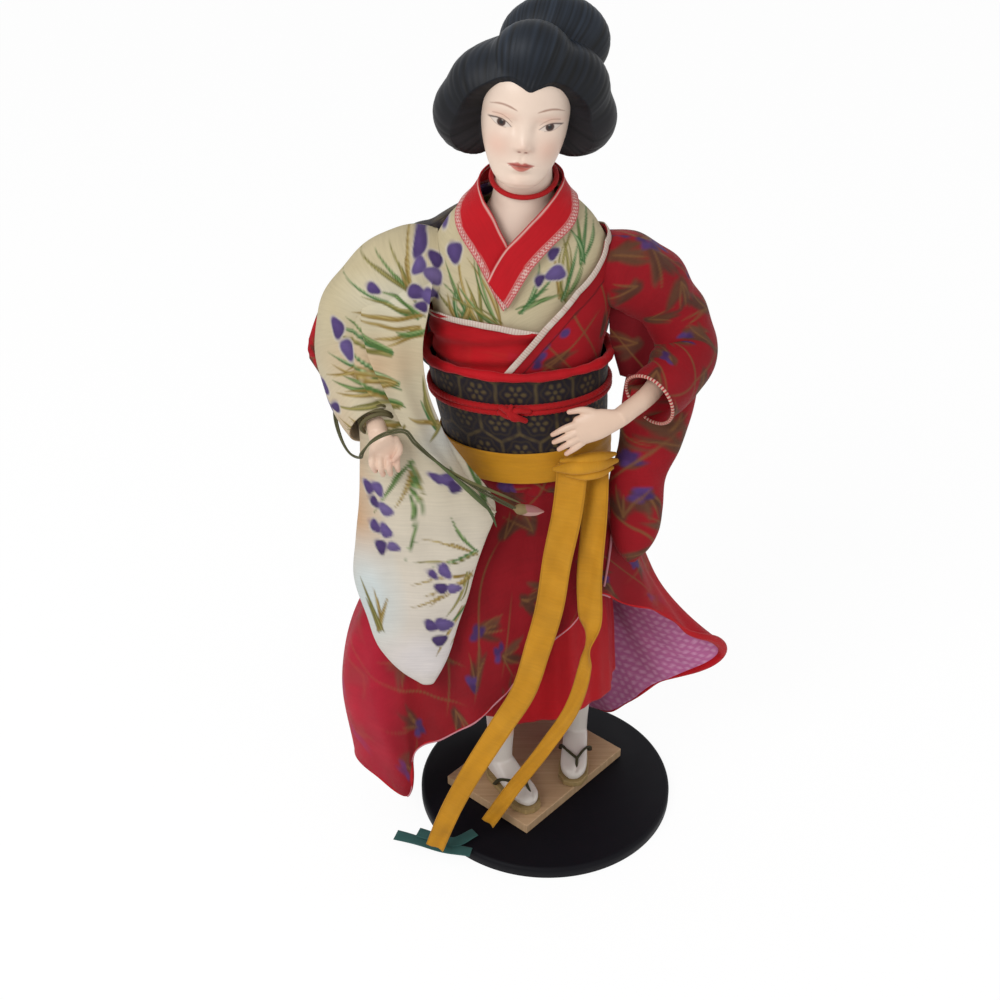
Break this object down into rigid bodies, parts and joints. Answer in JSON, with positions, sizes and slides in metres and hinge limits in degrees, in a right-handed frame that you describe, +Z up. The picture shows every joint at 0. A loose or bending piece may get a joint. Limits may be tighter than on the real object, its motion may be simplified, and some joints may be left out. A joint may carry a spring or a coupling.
{
  "type": "costumed geisha doll",
  "caption": "Porcelain doll in layered kimono with a wide sash and flared skirt, standing on a round black base.",
  "frame": {"origin": "middle of the underside of the round base", "axes": "+Z up through the doll, -Y the way the doll faces, +X to the doll's left"},
  "size_m": [0.2124, 0.14, 0.4369],
  "materials": {
    "lacquer": "gloss black lacquer",
    "pale_wood": "plain sanded wood",
    "steel": "drawn wire",
    "porcelain": "matt bisque, painted face and hair",
    "calico": "plain weave, stuffed",
    "red_cord": "twisted cord",
    "cream_silk": "printed with irises and grass",
    "red_silk": "printed with small flowers and leaves",
    "plain_red_silk": "plain weave",
    "pink_lining": "plain weave with small pale dots",
    "obi_brocade": "dark brocade with gold hexagons",
    "yellow_silk": "plain satin",
    "leaf_green": "wrapped wire",
    "bud_pink": "folded silk petals",
    "teal_ribbon": "woven ribbon"
  },
  "bodies": {
    "root": {"base_disc": "lacquer", "foot_board": "pale_wood", "right_foot_pin": "steel", "left_foot_pin": "steel", "right_sandal_sole": "pale_wood", "left_sandal_sole": "pale_wood", "right_leg": "porcelain", "left_leg": "porcelain", "stuffed_body": "calico", "head": "porcelain", "neck_cord": "red_cord", "right_hand": "porcelain", "left_hand": "porcelain", "cream_bodice": "cream_silk", "red_kimono_bodice": "red_silk", "red_collar": "plain_red_silk", "obi": "obi_brocade", "yellow_sash": "yellow_silk", "obiage": "plain_red_silk", "obijime": "red_cord", "sash_tail_long": "yellow_silk", "sash_tail_short": "yellow_silk", "obi_bow": "obi_brocade", "obi_end": "obi_brocade", "plain_red_underskirt": "plain_red_silk", "red_kimono_skirt": "red_silk", "skirt_lining": "pink_lining", "cream_right_sleeve": "cream_silk", "red_left_sleeve": "red_silk", "red_slipped_sleeve": "red_silk", "flower_stem": "leaf_green", "flower_bud": "bud_pink", "teal_ribbon": "teal_ribbon"}
  },
  "joints": []
}
